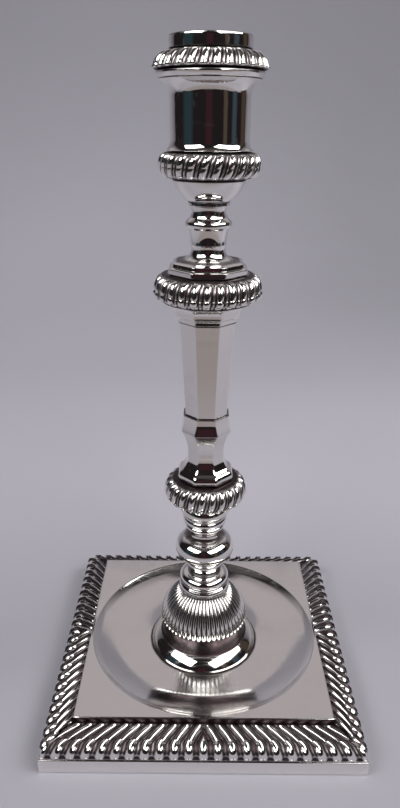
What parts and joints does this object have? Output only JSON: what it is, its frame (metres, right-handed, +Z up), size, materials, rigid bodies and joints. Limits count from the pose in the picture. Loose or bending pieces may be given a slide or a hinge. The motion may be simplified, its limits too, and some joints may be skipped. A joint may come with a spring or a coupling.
{
  "type": "table candlestick",
  "caption": "Silver table candlestick: square gadrooned foot with a round well, fluted dome, knopped and octagonal stem, and a vase-shaped candle socket.",
  "frame": {"origin": "centre of the square foot's outline on the surface it stands on", "axes": "+Z up along the stem; the square foot's sides and two flats of each octagon face +X, -X, +Y and -Y"},
  "size_m": [0.1158, 0.1158, 0.235],
  "materials": {
    "polished_silver": "mirror polish with fine wear scratches",
    "worked_silver": "polished lobes with dark tarnish in the grooves"
  },
  "bodies": {
    "root": {"ball_knop": "polished_silver", "base_plate": "polished_silver", "candle_seat": "polished_silver", "dome_collar": "polished_silver", "fluted_dome": "worked_silver", "foot_ring": "polished_silver", "gadroon_border_back": "worked_silver", "gadroon_border_front": "worked_silver", "gadroon_border_left": "worked_silver", "gadroon_border_right": "worked_silver", "gadroon_knop": "worked_silver", "gadroon_rim": "worked_silver", "gadroon_shoulder": "worked_silver", "gadroon_socket_ring": "worked_silver", "mouth_collar": "polished_silver", "octagonal_baluster": "polished_silver", "octagonal_capital": "polished_silver", "octagonal_cushion": "polished_silver", "octagonal_shaft": "polished_silver", "plinth_back": "polished_silver", "plinth_front": "polished_silver", "plinth_left": "polished_silver", "plinth_right": "polished_silver", "rim_lip": "polished_silver", "ringed_neck": "polished_silver", "ringed_reel": "polished_silver", "socket_bowl": "polished_silver", "socket_tube": "polished_silver", "trumpet_neck": "polished_silver"}
  },
  "joints": []
}
